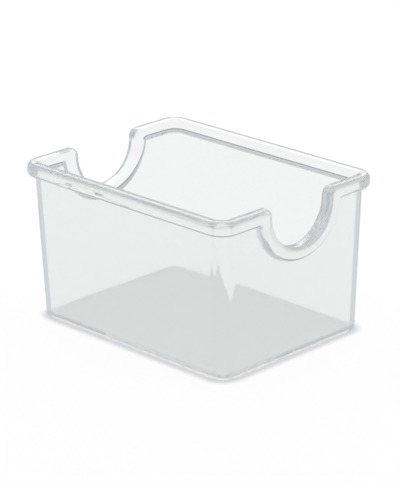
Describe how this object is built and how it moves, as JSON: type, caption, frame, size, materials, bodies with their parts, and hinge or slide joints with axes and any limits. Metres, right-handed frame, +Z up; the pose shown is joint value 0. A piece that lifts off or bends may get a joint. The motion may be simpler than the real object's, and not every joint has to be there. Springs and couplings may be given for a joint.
{
  "type": "sugar packet holder",
  "caption": "Clear moulded plastic tub with drafted walls, a rounded rim bead and a finger scoop in each end wall, which holds standing sugar packets on a table.",
  "frame": {"origin": "centre of the footprint, on the table", "axes": "+X along the length towards one scoop, +Y across, +Z up"},
  "size_m": [0.108, 0.0824, 0.062],
  "materials": {
    "clear_plastic": "clear, polished as moulded"
  },
  "bodies": {
    "root": {"holder": "clear_plastic"}
  },
  "joints": []
}
